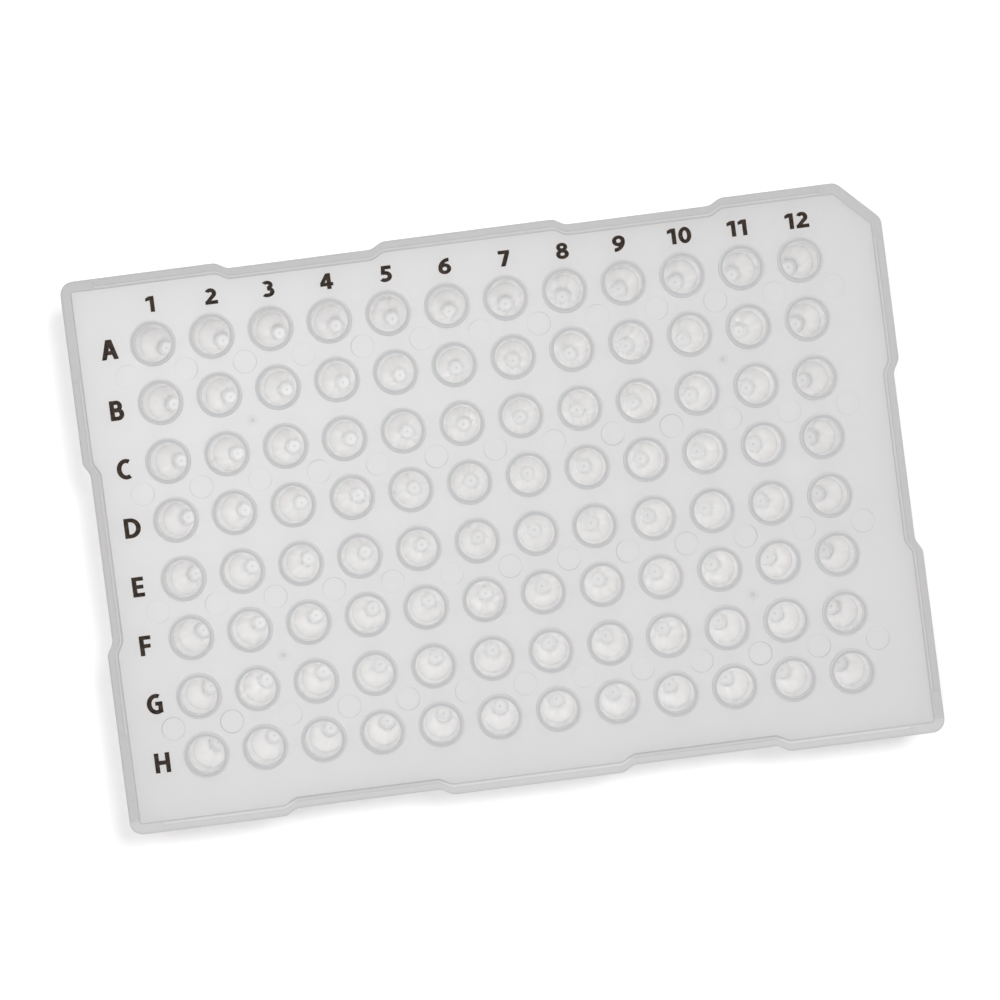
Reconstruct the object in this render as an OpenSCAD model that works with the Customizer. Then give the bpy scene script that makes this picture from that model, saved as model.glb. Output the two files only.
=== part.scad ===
// Half-skirted 96-well plate for 0.2 ml reactions, moulded in one shot from natural polypropylene.
// The origin is the centre of the well array, on the plane that the well tips stand on.
// +X runs from column 1 to column 12, +Y from row H to row A, and +Z up out of the wells.

/* [Well array] */
// Number of columns, along X
columns = 12; // [4:1:12]
// Number of rows, along Y
rows = 8; // [4:1:8]
// Distance from one well axis to the next
pitch = 9; // [8.5:0.1:10]

/* [Well] */
// Height of the plate, from the tips it stands on to the top of the rims
plate_h = 20.7; // [17:0.1:25]
// Bore of the mouth, where a cap plugs in
mouth_d = 5.5; // [4.9:0.1:5.9]
// Length of the straight bore below the mouth
mouth_l = 2.6; // [1.5:0.1:4]
// Bore where the upper barrel meets the cone
shoulder_d = 5.24; // [4.4:0.02:5.4]
// Depth below the rim at which the cone starts
shoulder_depth = 7.5; // [5:0.1:9]
// Bore at the foot of the cone, just above the rounded end
tip_d = 2.68; // [2:0.02:3]
// Length of the rounded end of the bore
tip_l = 1.1; // [0.6:0.1:1.6]
// Bore of the flat at the very end
tip_flat_d = 1.9; // [1:0.1:2]
// Plastic under the bore's end
tip_t = 0.7; // [0.4:0.05:1.2]
// Wall of the cone
cone_t = 0.4; // [0.25:0.05:0.6]
// Wall of the upper barrel
barrel_t = 0.45; // [0.3:0.05:0.6]
// Width of the raised rim round each mouth
rim_w = 0.72; // [0.5:0.02:1.2]
// Height of the rim above the deck
rim_h = 0.7; // [0.3:0.1:1.5]

/* [Deck] */
// Length of the plate over its skirt
plate_l = 125.2; // [120:0.1:127]
// Width of the plate over its skirt
plate_w = 84.9; // [80.5:0.1:85.5]
// Thickness of the deck
deck_t = 1.1; // [0.8:0.1:1.5]
// Radius of the three round corners
corner_r = 2; // [1:0.1:3.5]
// How far the cut corner beside well A12 is set back along each edge
cut_l = 6.2; // [4:0.1:8]

/* [Skirt] */
// Depth of the skirt below the deck's top face
skirt_h = 9.4; // [5:0.1:14]
// Thickness of the skirt at its lower edge
skirt_t = 1.1; // [0.8:0.1:1.5]
// Width of the sunk border that the skirt hangs from
border_w = 1.55; // [1.4:0.05:2]
// Width of the slope from the border up to the deck
edge_w = 0.3; // [0.2:0.05:0.5]
// Depth of the border below the deck's top face
border_drop = 0.4; // [0.2:0.05:0.6]
// How far the skirt leans in from its top to its lower edge
draft = 0.15; // [0:0.05:0.3]

/* [Grip recesses] */
// How far each recess is set in from the edge
recess_in = 1; // [0.5:0.1:1.2]
// Length of each recess at its floor, along the long edges
long_recess_l = 21.2; // [14:0.1:30]
// Distance from the plate's middle to the middle of each long-edge recess
long_recess_x = 25.9; // [22:0.1:32]
// Length of the recess at its floor, along the short edges
short_recess_l = 24.9; // [14:0.1:36]
// Length of the slope at each end of a recess
slope_l = 2.6; // [2:0.1:5]

/* [Moulding marks] */
// Diameter of the ejector pins that push on the deck
pin_d = 3.6; // [2:0.1:4]
// Depth of the mark that a pin leaves
pin_depth = 0.06; // [0.05:0.01:0.15]
// Diameter of the recess round each of the four gates
gate_d = 1.7; // [1:0.1:2.4]
// Width of the groove in the border
groove_w = 0.3; // [0.2:0.02:0.5]
// Depth of the groove
groove_depth = 0.25; // [0.1:0.05:0.4]
// How far from the corners the groove ends, along the long edges
groove_end_x = 5.2; // [3:0.1:12]
// How far from the corners the groove ends, along the short edge at column 12
groove_end_y = 6.4; // [4:0.1:12]
// How far from the corners the groove ends, along the short edge at column 1
groove_end_left = 15.4; // [8:0.1:18]

/* [Hidden] */
$fn = 48;
arc_n = 7;

rim_z = plate_h;
deck_z = plate_h - rim_h;
under_z = deck_z - deck_t;
skirt_z = deck_z - skirt_h;
border_z = deck_z - border_drop;
shoulder_z = rim_z - shoulder_depth;
mouth_z = rim_z - mouth_l;

mouth_r = mouth_d / 2;
shoulder_r = shoulder_d / 2;
tip_r = tip_d / 2;
tip_flat_r = tip_flat_d / 2;
collar_r = mouth_r + rim_w;
rim_r = 0.28;
edge_r = 0.4;
edge_lip = 0.12;
groove_gap = 0.1;
notch_w = 0.2;
notch_depth = 0.12;
tip_dimple_r = 0.16;
tip_dimple_depth = 0.1;
gate_r = gate_d / 2;

half_l = plate_l / 2;
half_w = plate_w / 2;
tan_half = tan(22.5);

// The straight runs of the groove: turn of the edge, its distance from the middle, start and end
groove_runs = [
    [0, half_w, groove_end_x - half_l, half_l - cut_l - 2.8],
    [90, half_l, groove_end_left - half_w, half_w - groove_end_left],
    [180, half_w, groove_end_x - half_l, half_l - groove_end_x],
    [270, half_l, cut_l + 2.8 - half_w, half_w - groove_end_y]
];

// Axis of the well in column i and row j, both counted from 0
function well_x(i) = (i - (columns - 1) / 2) * pitch;
function well_y(j) = ((rows - 1) / 2 - j) * pitch;

// Points of an arc about c, from angle a0 to angle a1
function arc(c, r, a0, a1) =
    [for (k = [0:arc_n]) let (a = a0 + (a1 - a0) * k / arc_n) c + r * [cos(a), sin(a)]];

// An S-shaped step from p to q, with a level tangent at each end
function s_step(p, q) =
    [for (k = [0:arc_n]) let (t = k / arc_n) [
        p.x + (q.x - p.x) * t,
        p.y + (q.y - p.y) * (1 - cos(180 * t)) / 2
    ]];

// Both steps of a recess whose middle is at m along an edge at height e; sunk towards 0
function recess(m, l, e) = concat(
    s_step([m + l / 2 + slope_l, e], [m + l / 2, e - recess_in]),
    s_step([m - l / 2, e - recess_in], [m - l / 2 - slope_l, e])
);

// Turns points a quarter, a half or three quarters round the origin
function turned(pts, a) = [for (p = pts) [p.x * cos(a) - p.y * sin(a), p.x * sin(a) + p.y * cos(a)]];

// The outline of the plate set in by d, anticlockwise from the cut corner
function outline(d) =
    let (
        hl = half_l - d,
        hw = half_w - d,
        r = max(corner_r - d, 0.2),
        cut = cut_l - d * (2 - sqrt(2)),
        s = r * tan_half
    )
    concat(
        arc([hl - r, hw - cut - s], r, 0, 45),
        arc([hl - cut - s, hw - r], r, 45, 90),
        recess(long_recess_x, long_recess_l, hw),
        recess(-long_recess_x, long_recess_l, hw),
        arc([-hl + r, hw - r], r, 90, 180),
        turned(recess(0, short_recess_l, hl), 90),
        arc([-hl + r, -hw + r], r, 180, 270),
        turned(recess(long_recess_x, long_recess_l, hw), 180),
        turned(recess(-long_recess_x, long_recess_l, hw), 180),
        arc([hl - r, -hw + r], r, 270, 360),
        turned(recess(0, short_recess_l, hl), 270)
    );

// The skirt's section as [inset, height], from the deck down over the border and round the skirt
skirt_section = concat(
    [
        [border_w + 1, under_z + 0.3],
        [border_w + 1, deck_z - edge_lip],
        [border_w + edge_w, deck_z - edge_lip],
        [border_w, border_z]
    ],
    [for (k = [0:3]) let (a = 30 * k) [edge_r * (1 - sin(a)), border_z - edge_r * (1 - cos(a))]],
    [
        [draft, skirt_z + 0.2],
        [draft + 0.2, skirt_z],
        [draft + skirt_t - 0.2, skirt_z],
        [draft + skirt_t, skirt_z + 0.2],
        [border_w - 0.1, under_z - 0.5],
        [border_w + 0.55, under_z + 0.15]
    ]
);

// A closed section carried round the outline as one ring
module ring(section) {
    loops = [for (p = section) [for (q = outline(p[0])) [q.x, q.y, p[1]]]];
    n = len(loops[0]);
    m = len(section);
    polyhedron(
        points = [for (l = loops) each l],
        faces = [
            for (i = [0:m - 1], j = [0:n - 1])
                let (i2 = (i + 1) % m, j2 = (j + 1) % n)
                [i * n + j, i * n + j2, i2 * n + j2, i2 * n + j]
        ]
    );
}

module plate_slab(inset, z0, z1) {
    translate([0, 0, z0])
        linear_extrude(height = z1 - z0)
            polygon(outline(inset));
}

// Outer skin of one well: rounded tip, cone, barrel and raised rim
module well_body() {
    rotate_extrude()
        polygon([
            [0, 0],
            [tip_flat_r, 0],
            [tip_r + cone_t - 0.12, 0.45],
            [tip_r + cone_t, tip_t + tip_l],
            [shoulder_r + cone_t, shoulder_z],
            [mouth_r + barrel_t, under_z],
            [mouth_r + barrel_t, deck_z - deck_t / 2],
            [collar_r, deck_z - deck_t / 2],
            [collar_r, rim_z - rim_r],
            [collar_r - 0.3 * rim_r, rim_z - 0.3 * rim_r],
            [collar_r - rim_r, rim_z],
            [0, rim_z]
        ]);
}

// The space inside one well
module well_bore() {
    rotate_extrude()
        polygon([
            [0, tip_t - tip_dimple_depth],
            [tip_dimple_r, tip_t - tip_dimple_depth],
            [tip_dimple_r, tip_t],
            [tip_flat_r - 0.1, tip_t],
            [tip_r - 0.1, tip_t + 0.35],
            [tip_r, tip_t + tip_l],
            [shoulder_r, shoulder_z],
            [mouth_r, mouth_z],
            [mouth_r, rim_z + 1],
            [0, rim_z + 1]
        ]);
}

module each_well() {
    for (i = [0:columns - 1], j = [0:rows - 1])
        translate([well_x(i), well_y(j), 0])
            children();
}

// Shallow round marks left by the ejector pins, between every second pair of rows and past both ends
module pin_marks() {
    for (i = [0:columns], j = [1:2:rows - 1])
        translate([well_x(i - 0.5), well_y(j - 0.5), deck_z - pin_depth])
            cylinder(d = pin_d, h = 1);
}

// A ring recess round each gate, in the second gap from each edge, with the broken-off gate in the middle
module gate_marks() {
    for (i = [1.5, columns - 2.5], j = [1.5, rows - 2.5])
        translate([well_x(i), well_y(j), deck_z - 0.2])
            difference() {
                cylinder(r = gate_r, h = 1);
                cylinder(r = 0.25, h = 0.15);
            }
}

// The groove in the border, along each edge but not round the corners
module groove() {
    band_z = border_z - groove_depth;
    inner = border_w - groove_gap;
    intersection() {
        difference() {
            plate_slab(inner - groove_w, band_z, border_z + 1);
            plate_slab(inner, band_z - 1, border_z + 2);
        }
        for (run = groove_runs)
            rotate(run[0])
                translate([run[2], run[1] - 5, band_z])
                    cube([run[3] - run[2], 5, 2]);
    }
}

// A small notch across the border at each end of the groove
module end_notches() {
    for (run = groove_runs, end = [run[2], run[3]])
        rotate(run[0])
            translate([end - notch_w / 2, run[1] - border_w + groove_gap, border_z - notch_depth])
                cube([notch_w, border_w - groove_gap - edge_r - 0.1, 1]);
}

module well_plate() {
    color("gainsboro")
        difference() {
            union() {
                ring(skirt_section);
                plate_slab(border_w + edge_w - 0.05, under_z, deck_z);
                each_well() well_body();
            }
            each_well() well_bore();
            pin_marks();
            gate_marks();
            groove();
            end_notches();
        }
}

well_plate();
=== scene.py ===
import math
import bpy
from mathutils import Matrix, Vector
from mathutils.geometry import delaunay_2d_cdt


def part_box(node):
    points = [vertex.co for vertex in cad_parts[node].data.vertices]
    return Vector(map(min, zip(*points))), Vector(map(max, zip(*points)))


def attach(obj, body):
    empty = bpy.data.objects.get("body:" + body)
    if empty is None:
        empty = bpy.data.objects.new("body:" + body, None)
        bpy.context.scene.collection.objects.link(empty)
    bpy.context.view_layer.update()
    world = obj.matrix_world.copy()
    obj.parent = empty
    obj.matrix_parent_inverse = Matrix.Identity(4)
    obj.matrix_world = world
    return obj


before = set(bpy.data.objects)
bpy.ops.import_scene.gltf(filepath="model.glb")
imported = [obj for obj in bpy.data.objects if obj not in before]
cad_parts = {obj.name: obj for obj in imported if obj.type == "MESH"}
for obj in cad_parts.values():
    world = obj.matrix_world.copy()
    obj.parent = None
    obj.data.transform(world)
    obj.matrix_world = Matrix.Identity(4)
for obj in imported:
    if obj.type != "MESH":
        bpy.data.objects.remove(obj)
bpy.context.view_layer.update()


# The bench and the view. The plate stands on the tips of its wells on a smooth white bench and is looked at
# from straight above. A soft box high on the right gives the faint shadow on the left and the near side, a
# wider and weaker one overhead on the left gives the deck its sheen, and a white room lights the rest. The
# bench glows a little, but only in what is seen by way of the plastic.

rim_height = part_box("well_plate")[1][2]

camera_data = bpy.data.cameras.new("bench_camera")
camera_data.sensor_width = 36.0
camera_data.lens = 111.68
camera_data.clip_start = 0.01
camera_data.clip_end = 20.0
camera = bpy.data.objects.new("bench_camera", camera_data)
camera.location = (0.00092, 0.00860, rim_height + 0.47056)
camera.rotation_euler = (math.radians(-0.913), math.radians(0.03), math.radians(-7.362))
bpy.context.scene.collection.objects.link(camera)
bpy.context.scene.camera = camera
bpy.context.scene.view_settings.view_transform = "Standard"


class Socket:
    """A node's output that Python's operators work on, each adding the Math node it stands for."""

    def __init__(self, tree, link):
        self.tree = tree
        self.link = link

    def node(self, kind, settings=None, inputs=None, output=0):
        """A new node of any kind, with its settings first and then the values or links of its inputs."""
        made = self.tree.nodes.new(kind)
        for name, value in (settings or {}).items():
            if name == "stops":
                ramp = made.color_ramp
                while len(ramp.elements) < len(value):
                    ramp.elements.new(1.0)
                for element, (place, colour) in zip(ramp.elements, value):
                    element.position = place
                    element.color = colour
            else:
                setattr(made, name, value)
        for name, value in (inputs or {}).items():
            if isinstance(value, Socket):
                self.tree.links.new(value.link, made.inputs[name])
            else:
                made.inputs[name].default_value = value
        return Socket(self.tree, made.outputs[output])

    def math(self, operation, *values):
        return self.node("ShaderNodeMath", {"operation": operation}, dict(enumerate(values)))

    def __add__(self, other):
        return self.math("ADD", self, other)

    def __radd__(self, other):
        return self.math("ADD", other, self)

    def __sub__(self, other):
        return self.math("SUBTRACT", self, other)

    def __rsub__(self, other):
        return self.math("SUBTRACT", other, self)

    def __mul__(self, other):
        return self.math("MULTIPLY", self, other)

    def __rmul__(self, other):
        return self.math("MULTIPLY", other, self)

    def __truediv__(self, other):
        return self.math("DIVIDE", self, other)

    def size(self):
        return self.math("ABSOLUTE", self)

    def under(self, limit):
        return self.math("LESS_THAN", self, limit)

    def within(self, low, high):
        return self.math("GREATER_THAN", self, low) * self.under(high)

    def either(self, other):
        return self.math("MAXIMUM", self, other)

    def tint(self, first, second):
        """A mix of two colours, with this value as the share of the second."""
        settings = {"data_type": "RGBA"}
        return self.node("ShaderNodeMix", settings, {0: self, 6: first, 7: second}, output=2)

    def blend(self, first, second):
        """A mix of two shaders, with this value as the share of the second."""
        return self.node("ShaderNodeMixShader", None, {0: self, 1: first, 2: second})


def new_material(name):
    """A new material: itself, its shader node, and its object coordinates as a Socket."""
    material = bpy.data.materials.new(name)
    material.use_nodes = True
    tree = material.node_tree
    coordinates = tree.nodes.new("ShaderNodeTexCoord")
    return material, tree.nodes["Principled BSDF"], Socket(tree, coordinates.outputs["Object"])


def feed(at, shader, **sources):
    """Links Sockets to the shader's inputs, with underscores for the spaces in an input's name."""
    for name, source in sources.items():
        at.tree.links.new(source.link, shader.inputs[name.replace("_", " ")])


def grey(level, warmth=0.0):
    """A near-neutral colour. Warmth above 0 leans to yellow and below 0 to blue."""
    return (level * (1 + warmth), level, level * (1 - warmth), 1.0)


bpy.ops.mesh.primitive_plane_add(size=3.0, location=(0, 0, 0))
bench = bpy.context.object
bench.name = "bench"
bench_paint, shader, at = new_material("white_bench")
shader.inputs["Roughness"].default_value = 0.6
shader.inputs["Specular IOR Level"].default_value = 0.2
shader.inputs["Emission Strength"].default_value = 0.28
mottle = at.node("ShaderNodeTexNoise", None, {"Vector": at, "Scale": 9.0, "Detail": 2.0})
rays = at.node("ShaderNodeLightPath").link.node.outputs
mirrored, refracted = (
    Socket(at.tree, rays[name]) for name in ("Is Glossy Ray", "Is Transmission Ray")
)
feed(
    at,
    shader,
    Base_Color=mottle.tint(grey(0.95), grey(0.98)),
    Emission_Color=mirrored.either(refracted).tint(grey(0.0), grey(1.0)),
)
bench.data.materials.append(bench_paint)

world = bpy.data.worlds.new("white_room")
bpy.context.scene.world = world
world.use_nodes = True
room = world.node_tree.nodes["Background"]
room.inputs["Color"].default_value = (1.0, 0.976, 0.992, 1.0)
room.inputs["Strength"].default_value = 0.56


def soft_box(name, side, power, place):
    """A square lamp aimed at the middle of the plate."""
    lamp_data = bpy.data.lights.new(name, "AREA")
    lamp_data.shape = "SQUARE"
    lamp_data.size = side
    lamp_data.energy = power
    lamp = bpy.data.objects.new(name, lamp_data)
    lamp.location = place
    lamp.rotation_euler = (-Vector(place)).to_track_quat("-Z", "Y").to_euler()
    bpy.context.scene.collection.objects.link(lamp)
    return lamp


soft_box("soft_box_right", side=0.2, power=4.6, place=(0.22, 0.16, 1.0)).visible_glossy = False
soft_box("soft_box_overhead", side=0.3, power=2.85, place=(-0.17, 0.08, 1.0))


# The plate. It is one moulding in natural polypropylene with no pigment, milky where it is thick and nearly
# clear in the thin walls of the wells. The mould's faces leave a soft satin on it. Light that enters the
# deck and the wells spreads inside them, so it is let through to what lies below.

bpy.context.scene.cycles.max_bounces = 24
bpy.context.scene.cycles.diffuse_bounces = 12
bpy.context.scene.cycles.transmission_bounces = 24
bpy.context.scene.cycles.transparent_max_bounces = 64

# The moulding's measures, in metres from the middle of the wells and up from the bench
well_pitch = 0.009
array_half_length = 6 * well_pitch
array_half_width = 4 * well_pitch
well_bore_radius = 0.00282
well_skin_radius = 0.0034
lip_radius = 0.00306
deck_top = 0.0200
deck_underside = 0.0189
rim_edge = 0.02065
pin_mark_radius = 0.0018
pin_line_inside = 0.00011
pin_line_outside = 0.00003
past_outer_pins = 0.0025
gate_x = 4 * well_pitch
gate_y = 2 * well_pitch
gate_stub_radius = 0.00036
front_border_line = -0.0404
# A mask by height stops this far short of the face beside it
mask_margin = 0.00005

plastic_ior = 1.49
deck_grey = 0.70
flow_contrast = 0.018
pin_line_grey = 0.35
shade_grey = 0.20

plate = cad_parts["well_plate"]
polypropylene, satin_plastic, at = new_material("natural_polypropylene")
axes = at.node("ShaderNodeSeparateXYZ", None, {0: at}).link.node.outputs
x, y, z = (Socket(at.tree, axis) for axis in axes)


def off_line(value, spacing):
    """How far a place lies from the nearest line, where the lines run at odd half spacings."""
    cell = value / spacing
    return (cell.math("FRACT", cell) - 0.5) * spacing


def reach(across, along):
    """The length of an offset from its two parts."""
    return across.math("SQRT", across * across + along * along)


# Masks, each 1 on its feature and 0 elsewhere
in_array = x.size().under(array_half_length) * y.size().under(array_half_width)
from_well = reach(off_line(x, well_pitch), off_line(y, well_pitch))
in_bore = from_well.under(well_bore_radius) * in_array
well_skin = from_well.under(well_skin_radius) * z.under(deck_underside - mask_margin) * in_array
thin_wall = in_bore.either(well_skin)
skirt = z.under(deck_top - 3 * mask_margin) * (1.0 - in_array)


def by_height(height, stops):
    """Tone and clearness up the height, from stops given in millimetres with a tone, warmth and clearness."""
    low = stops[0][0]
    span = stops[-1][0] - low
    places = [((up - low) / span, grey(tone, warmth)[:3] + (clear,)) for up, tone, warmth, clear in stops]
    ramp = height.node("ShaderNodeValToRGB", {"stops": places}, {0: (height * 1000.0 - low) / span})
    return ramp, Socket(height.tree, ramp.link.node.outputs["Alpha"])


# Painted shading and highlights up the outside: the skirt and its rounded edge (painted shade), the groove (a
# painted highlight along it), the border, the slope up to the deck (painted shade), the gates' rings and
# stubs, the deck, and the rims' sides (painted highlight), rounded edges and flat tops (painted shade)
outside_shading_stops = [
    (19.10, 0.80, 0.0, 0),
    (19.18, 0.76, 0.0, 0),
    (19.20, 0.70, 0.0, 0),
    (19.33, 0.72, 0.0, 0),
    (19.34, 0.95, 0.0, 0),
    (19.36, 0.95, 0.0, 0),
    (19.37, 0.72, 0.0, 0),
    (19.50, 0.74, 0.0, 0),
    (19.585, 0.75, 0.0, 0),
    (19.62, 0.75, 0.0, 0),
    (19.64, 0.68, 0.0, 0),
    (19.78, 0.70, 0.0, 0),
    (19.79, 0.93, 0.0, 0),
    (19.81, 0.93, 0.0, 0),
    (19.82, 0.72, 0.0, 0),
    (19.91, 0.80, 0.0, 0),
    (19.925, 1.0, 0.0, 0),
    (20.02, 1.0, 0.0, 0),
    (20.06, 1.1, 0.0, 0),
    (20.42, 1.1, 0.0, 0),
    (20.60, 1.0, -0.012, 0),
    (20.68, 0.82, -0.018, 0),
    (20.70, 0.67, -0.022, 0),
]
outside_painted_shading = by_height(z, outside_shading_stops)[0]

# Painted shading up the inside of a well, with its clearness: the dimple, the flat end and the ring where the
# end turns up (painted shade), the cone with two faint darker lines, the shoulder (painted shade), the
# barrel, and the lip under the rim (painted shade)
inside_shading_stops = [
    (0.60, 0.20, 0.0, 0.1),
    (0.66, 0.48, 0.0, 0.1),
    (0.72, 0.48, 0.0, 0.1),
    (0.78, 0.68, 0.0, 0.1),
    (1.00, 0.68, 0.0, 0.1),
    (1.10, 0.61, 0.0, 0.1),
    (2.20, 0.61, 0.0, 0.1),
    (2.60, 0.90, 0.0, 0.2),
    (3.20, 0.925, 0.006, 0.3),
    (6.80, 0.925, 0.006, 0.3),
    (7.00, 0.88, 0.006, 0.3),
    (7.20, 0.925, 0.006, 0.3),
    (10.30, 0.925, 0.006, 0.3),
    (10.50, 0.88, 0.006, 0.3),
    (10.70, 0.925, 0.006, 0.3),
    (12.40, 0.925, 0.006, 0.3),
    (12.80, 0.78, 0.0, 0.3),
    (13.80, 0.78, 0.0, 0.3),
    (14.60, 1.0, 0.004, 0.2),
    (19.50, 1.0, 0.0, 0.2),
    (19.95, 0.30, -0.02, 0.8),
    (20.50, 0.30, -0.02, 0.8),
    (20.70, 0.75, -0.01, 0.2),
]
well_painted_shading, clearness = by_height(z, inside_shading_stops)

flow = at.node("ShaderNodeTexNoise", None, {"Vector": at, "Scale": 38.0, "Detail": 3.0})
grain = at.node("ShaderNodeTexNoise", None, {"Vector": at, "Scale": 3500.0, "Detail": 2.0})
pressed = at.node("ShaderNodeTexNoise", None, {"Vector": at, "Scale": 210.0, "Detail": 1.0})
from_pin = reach(off_line(x + 0.5 * well_pitch, well_pitch), off_line(y, 2 * well_pitch))
near_pins = x.size().under(array_half_length + past_outer_pins) * y.size().under(array_half_width)
pin_line = from_pin.within(pin_mark_radius - pin_line_inside, pin_mark_radius + pin_line_outside)
on_deck = z.within(deck_top - 2 * mask_margin, deck_top + mask_margin)
# Each pin pressed harder on one side than the other, so its ring grows strong and faint along its way
pin_ring = pin_line * near_pins * on_deck * (pressed * 3.0 - 1.15).either(0.15)

deck_colour = flow.tint(grey(deck_grey - flow_contrast, 0.004), grey(deck_grey + flow_contrast, 0.004))
deck_colour = pin_ring.tint(deck_colour, grey(pin_line_grey))
on_rim = z.math("GREATER_THAN", z, rim_edge)
# Painted shade: the inner edge of each rim's flat top is made a little darker and bluer
deck_colour = (on_rim * from_well.under(lip_radius) * 0.05).tint(deck_colour, grey(shade_grey, -0.02))
gate_stub = reach(x.size() - gate_x, y.size() - gate_y).under(gate_stub_radius)
deck_colour = (gate_stub * 0.35).tint(deck_colour, grey(shade_grey))
# Painted light: the border along the near side is made lighter than the other sides
front_border_painted_light = skirt * y.under(front_border_line)
deck_colour = (front_border_painted_light * 0.9).tint(deck_colour, grey(0.82, -0.006))
product = {"data_type": "RGBA", "blend_type": "MULTIPLY"}
deck_colour = at.node("ShaderNodeMix", product, {0: 1.0, 6: deck_colour, 7: outside_painted_shading}, output=2)
wall_colour = thin_wall.tint(deck_colour, well_painted_shading)
satin = 0.25 + grain * 0.12 + skirt * 0.25 + on_rim * 0.15
relief = {"Height": grain + flow * 3.0, "Distance": 0.00002, "Strength": 0.35}
bump = at.node("ShaderNodeBump", None, relief)
satin_plastic.inputs["IOR"].default_value = plastic_ior
feed(at, satin_plastic, Base_Color=wall_colour, Roughness=satin, Normal=bump)

deck_glow = at.node("ShaderNodeBsdfTranslucent", None, {"Color": grey(0.77), "Normal": bump})
well_glow = at.node("ShaderNodeBsdfTranslucent", None, {"Color": grey(0.97), "Normal": bump})
clear_finish = {
    "Base Color": well_painted_shading,
    "Roughness": 0.10,
    "IOR": plastic_ior,
    "Transmission Weight": 1.0,
}
clear_plastic = at.node("ShaderNodeBsdfPrincipled", None, clear_finish)
thick = z.math("GREATER_THAN", z, deck_top + mask_margin).either(skirt) * (1.0 - thin_wall)
satin_plastic = Socket(at.tree, satin_plastic.outputs[0])
milky = (0.5 - 0.2 * thick).blend(satin_plastic, thin_wall.blend(deck_glow, well_glow))
moulding = (thin_wall * clearness).blend(milky, clear_plastic)

# What the lamps reach through the moulding: nearly all among the wells, less at the margin and the skirt
stops_light = at.node("ShaderNodeBsdfDiffuse", None, {"Color": grey(deck_grey)})
see_through = at.node("ShaderNodeBsdfTransparent", None, {"Color": grey(0.94)})
lets_light_by = 0.8 + in_array * 0.2 - skirt * 0.5
shadow_rays = at.node("ShaderNodeLightPath", output=1)
moulding = shadow_rays.blend(moulding, lets_light_by.blend(stops_light, see_through))
at.tree.links.new(moulding.link, at.tree.nodes["Material Output"].inputs["Surface"])
for slot in plate.material_slots:
    slot.material = polypropylene


# The row letters and column numbers. They are pad printed on the deck in one pass of a brown-black ink,
# which lies on the plastic as a thin flat film with crisp edges and dries with a faint unevenness.

ink_film = 0.000012

# The characters and where they stand, in millimetres
letter_height = 3.05
digit_height = 2.42
letter_stroke = 0.70
character_gap = 0.4
print_shift = 0.14
number_line = 37.47
join_distance = 0.0001

# How finely a bowl is cut: degrees to a piece, and the fewest pieces
bowl_step = 9
bowl_least_pieces = 6

ink, dried_ink, at = new_material("brown_black_ink")
dried_ink.inputs["Specular IOR Level"].default_value = 0.2
blot = at.node("ShaderNodeTexNoise", None, {"Vector": at, "Scale": 1600.0, "Detail": 2.0})
weave = at.node("ShaderNodeTexNoise", None, {"Vector": at, "Scale": 4200.0, "Detail": 1.0})
feed(
    at,
    dried_ink,
    Base_Color=((blot - 0.5) * 3.0 + 0.5).tint((0.009, 0.006, 0.004, 1), (0.042, 0.027, 0.018, 1)),
    Roughness=0.5 + weave * 0.2,
    Normal=at.node("ShaderNodeBump", None, {"Height": weave, "Distance": 0.00001, "Strength": 0.4}),
)


def upright(x_low, x_high, y_low, y_high):
    """A level or upright stroke."""
    return [[(x_low, y_low), (x_high, y_low), (x_high, y_high), (x_low, y_high)]]


def on_oval(middle, radii, turns):
    """Places on an oval at the given turns in radians."""
    return [(middle[0] + radii[0] * math.cos(t), middle[1] + radii[1] * math.sin(t)) for t in turns]


def bowl(middle, radii, turn, stroke):
    """Part of an oval ring from one turn to the other in degrees, in short four-cornered pieces."""
    steps = max(bowl_least_pieces, round(abs(turn[1] - turn[0]) / bowl_step))
    ring = [math.radians(turn[0] + (turn[1] - turn[0]) * k / steps) for k in range(steps + 1)]
    inner_radii = (radii[0] - stroke[0], radii[1] - stroke[1])
    return [
        on_oval(middle, radii, (a, b)) + on_oval(middle, inner_radii, (b, a))
        for a, b in zip(ring, ring[1:])
    ]


def turned_over(pieces, width, height):
    """The pieces turned by half a turn within a width and a height."""
    return [[(width - px, height - py) for px, py in piece] for piece in pieces]


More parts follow.
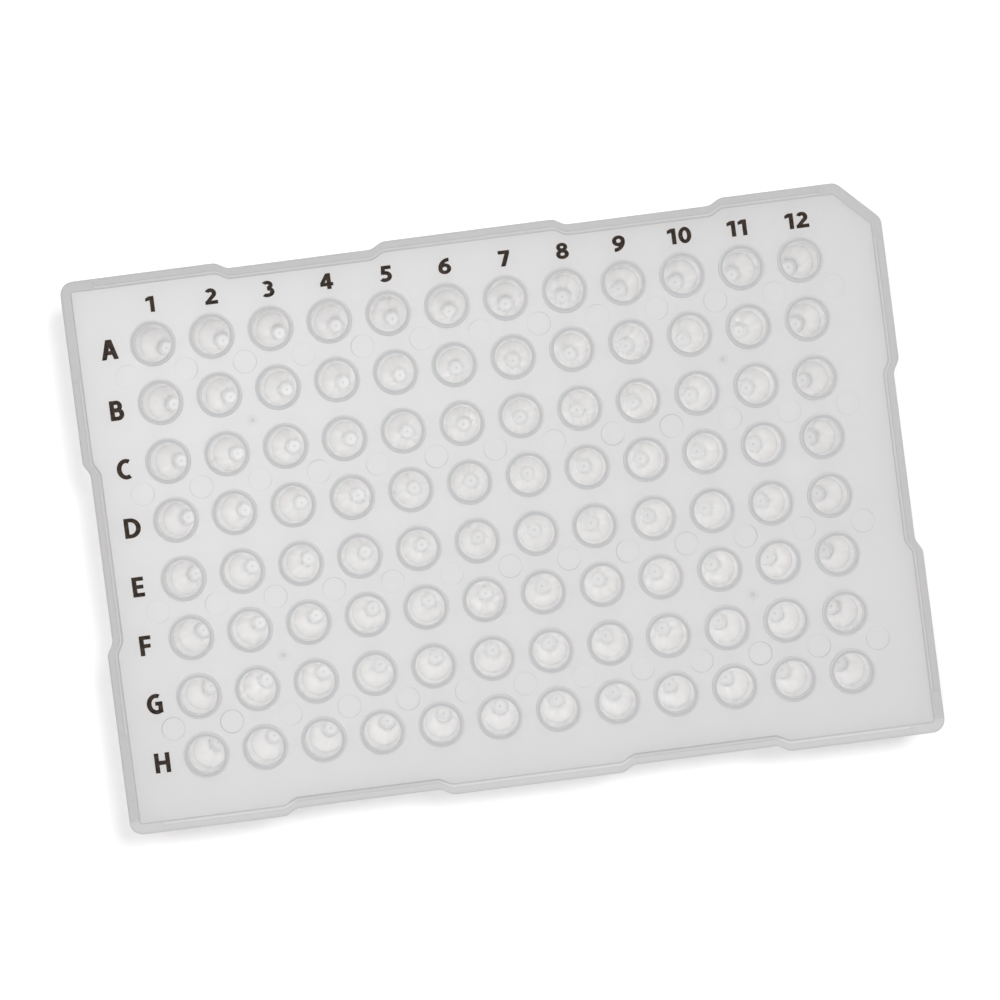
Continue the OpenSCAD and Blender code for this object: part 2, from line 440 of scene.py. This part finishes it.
# Each character is drawn in millimetres from its lower left corner, in pieces that overlap
stem = upright(0, letter_stroke, 0, letter_height)
six = bowl((0.97, 0.80), (0.98, 0.82), (0, 360), (0.64, 0.53)) + bowl(
    (1.62, 0.84), (1.63, 1.58), (86, 180), (0.65, 0.56)
)
one = upright(0.64, 1.30, 0, digit_height) + [[(0, 1.66), (0.7, 1.82), (0.7, 2.42), (0.5, 2.40), (0, 2.14)]]
letter_shapes = {
    "A": [
        [(0, 0), (0.74, 0), (1.30, 1.80), (1.30, 3.05), (0.84, 3.05)],
        [(1.86, 0), (2.60, 0), (1.76, 3.05), (1.30, 3.05), (1.30, 1.80)],
        [(0.80, 0.72), (1.80, 0.72), (1.66, 1.34), (0.94, 1.34)],
    ],
    "B": stem
    + upright(0.5, 1.1, 2.42, 3.05)
    + upright(0.5, 1.15, 1.25, 1.91)
    + upright(0.5, 1.2, 0, 0.62)
    + bowl((1.08, 2.17), (0.85, 0.88), (-90, 90), (0.70, 0.63))
    + bowl((1.18, 0.94), (0.94, 0.94), (-90, 90), (0.72, 0.62)),
    "C": bowl((1.45, 1.52), (1.45, 1.57), (60, 300), (0.74, 0.64)),
    "D": stem
    + upright(0.5, 0.95, 2.44, 3.05)
    + upright(0.5, 0.95, 0, 0.61)
    + bowl((0.93, 1.525), (1.60, 1.525), (-90, 90), (0.75, 0.61)),
    "E": stem
    + upright(0.5, 1.78, 2.44, 3.05)
    + upright(0.5, 1.70, 1.24, 1.83)
    + upright(0.5, 1.82, 0, 0.62),
    "F": stem + upright(0.5, 1.78, 2.44, 3.05) + upright(0.5, 1.67, 1.18, 1.78),
    "G": bowl((1.45, 1.52), (1.45, 1.57), (62, 306), (0.74, 0.64))
    + upright(1.70, 2.40, 0.14, 1.80)
    + upright(1.28, 2.40, 1.26, 1.86),
    "H": stem
    + upright(1.66, 2.36, 0, letter_height)
    + upright(0.5, 1.84, 1.22, 1.86),
}
digit_shapes = {
    "0": bowl((0.965, 1.21), (0.99, 1.25), (0, 360), (0.66, 0.56)),
    "1": one,
    "2": bowl((0.90, 1.64), (0.89, 0.80), (155, -38), (0.67, 0.57))
    + [[(-0.02, 0.40), (0.84, 0.50), (1.60, 1.15), (1.06, 1.50)]]
    + upright(-0.02, 1.92, 0, 0.56),
    "3": bowl((0.70, 1.77), (0.90, 0.69), (142, -90), (0.65, 0.54))
    + bowl((0.68, 0.75), (1.07, 0.79), (90, -138), (0.67, 0.56)),
    "4": upright(0.98, 1.64, 0, digit_height)
    + upright(-0.03, 1.96, 0.48, 1.02)
    + [[(-0.03, 0.6), (0.66, 0.96), (1.1, 1.62), (1.1, 2.42), (0.92, 2.42), (-0.03, 1.0)]],
    "5": upright(0.27, 1.72, 1.87, digit_height)
    + [[(0.13, 1.06), (0.76, 1.20), (0.88, 2.42), (0.25, 2.42)]]
    + bowl((0.70, 0.79), (1.07, 0.84), (122, -140), (0.67, 0.57)),
    "6": six,
    "7": upright(-0.02, 1.72, 1.87, digit_height)
    + [[(0.22, 0), (0.94, 0), (1.72, 1.95), (1.72, 2.42), (1.0, 2.0)]],
    "8": bowl((0.95, 1.78), (0.85, 0.66), (0, 360), (0.61, 0.48))
    + bowl((0.95, 0.71), (0.98, 0.74), (0, 360), (0.65, 0.51)),
    "9": turned_over(six, 1.94, digit_height),
}


def anticlockwise(piece):
    """A piece's corners in the order that keeps its inside on the left."""
    turn = sum(ax * by - bx * ay for (ax, ay), (bx, by) in zip(piece, piece[1:] + piece[:1]))
    return piece if turn > 0 else piece[::-1]


def printed(name, marks, shapes, middle_height):
    """One film of ink from marks, each given as its text and the place of its middle in millimetres."""
    corners = []
    outlines = []
    for text, place_x, place_y in marks:
        left = 0.0
        placed = []
        for character in text:
            right = max(px for piece in shapes[character] for px, py in piece)
            placed += [[(px + left, py) for px, py in piece] for piece in shapes[character]]
            left += right + character_gap
        shift = place_x + print_shift - (left - character_gap) / 2
        for piece in map(anticlockwise, placed):
            outlines.append(list(range(len(corners), len(corners) + len(piece))))
            corners += [Vector((px + shift, py + place_y - middle_height)) for px, py in piece]

    # The pieces of a mark overlap, so they are joined into triangles that lie side by side, and those that
    # no piece covers are left out
    whole_sheet = 0
    joined = delaunay_2d_cdt(corners, [], outlines, whole_sheet, join_distance)
    inked = [list(triangle) for triangle, covered_by in zip(joined[2], joined[5]) if covered_by]
    level = deck_top + ink_film
    mesh = bpy.data.meshes.new(name)
    mesh.from_pydata([(px / 1000, py / 1000, level) for px, py in joined[0]], [], inked)
    film = bpy.data.objects.new(name, mesh)
    bpy.context.scene.collection.objects.link(film)
    film.data.materials.append(ink)
    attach(film, "root")


row_places = [31.4, 22.1, 13.1, 4.1, -4.9, -13.9, -22.9, -31.9]
row_middles = [-56.34, -56.40, -56.50, -56.35, -56.66, -56.72, -56.50, -56.47]
printed("row_letters", list(zip("ABCDEFGH", row_middles, row_places)), letter_shapes, letter_height / 2)
number_shifts = [0.20, 0.54, 0.32, 0.21, 0.29, 0.27, 0.40, 0.28, -0.07, 0.19, -0.01, 0.15]
column_numbers = [
    (str(column + 1), (column - 5.5) * well_pitch * 1000 + shift, number_line)
    for column, shift in enumerate(number_shifts)
]
printed("column_numbers", column_numbers, digit_shapes, digit_height / 2)
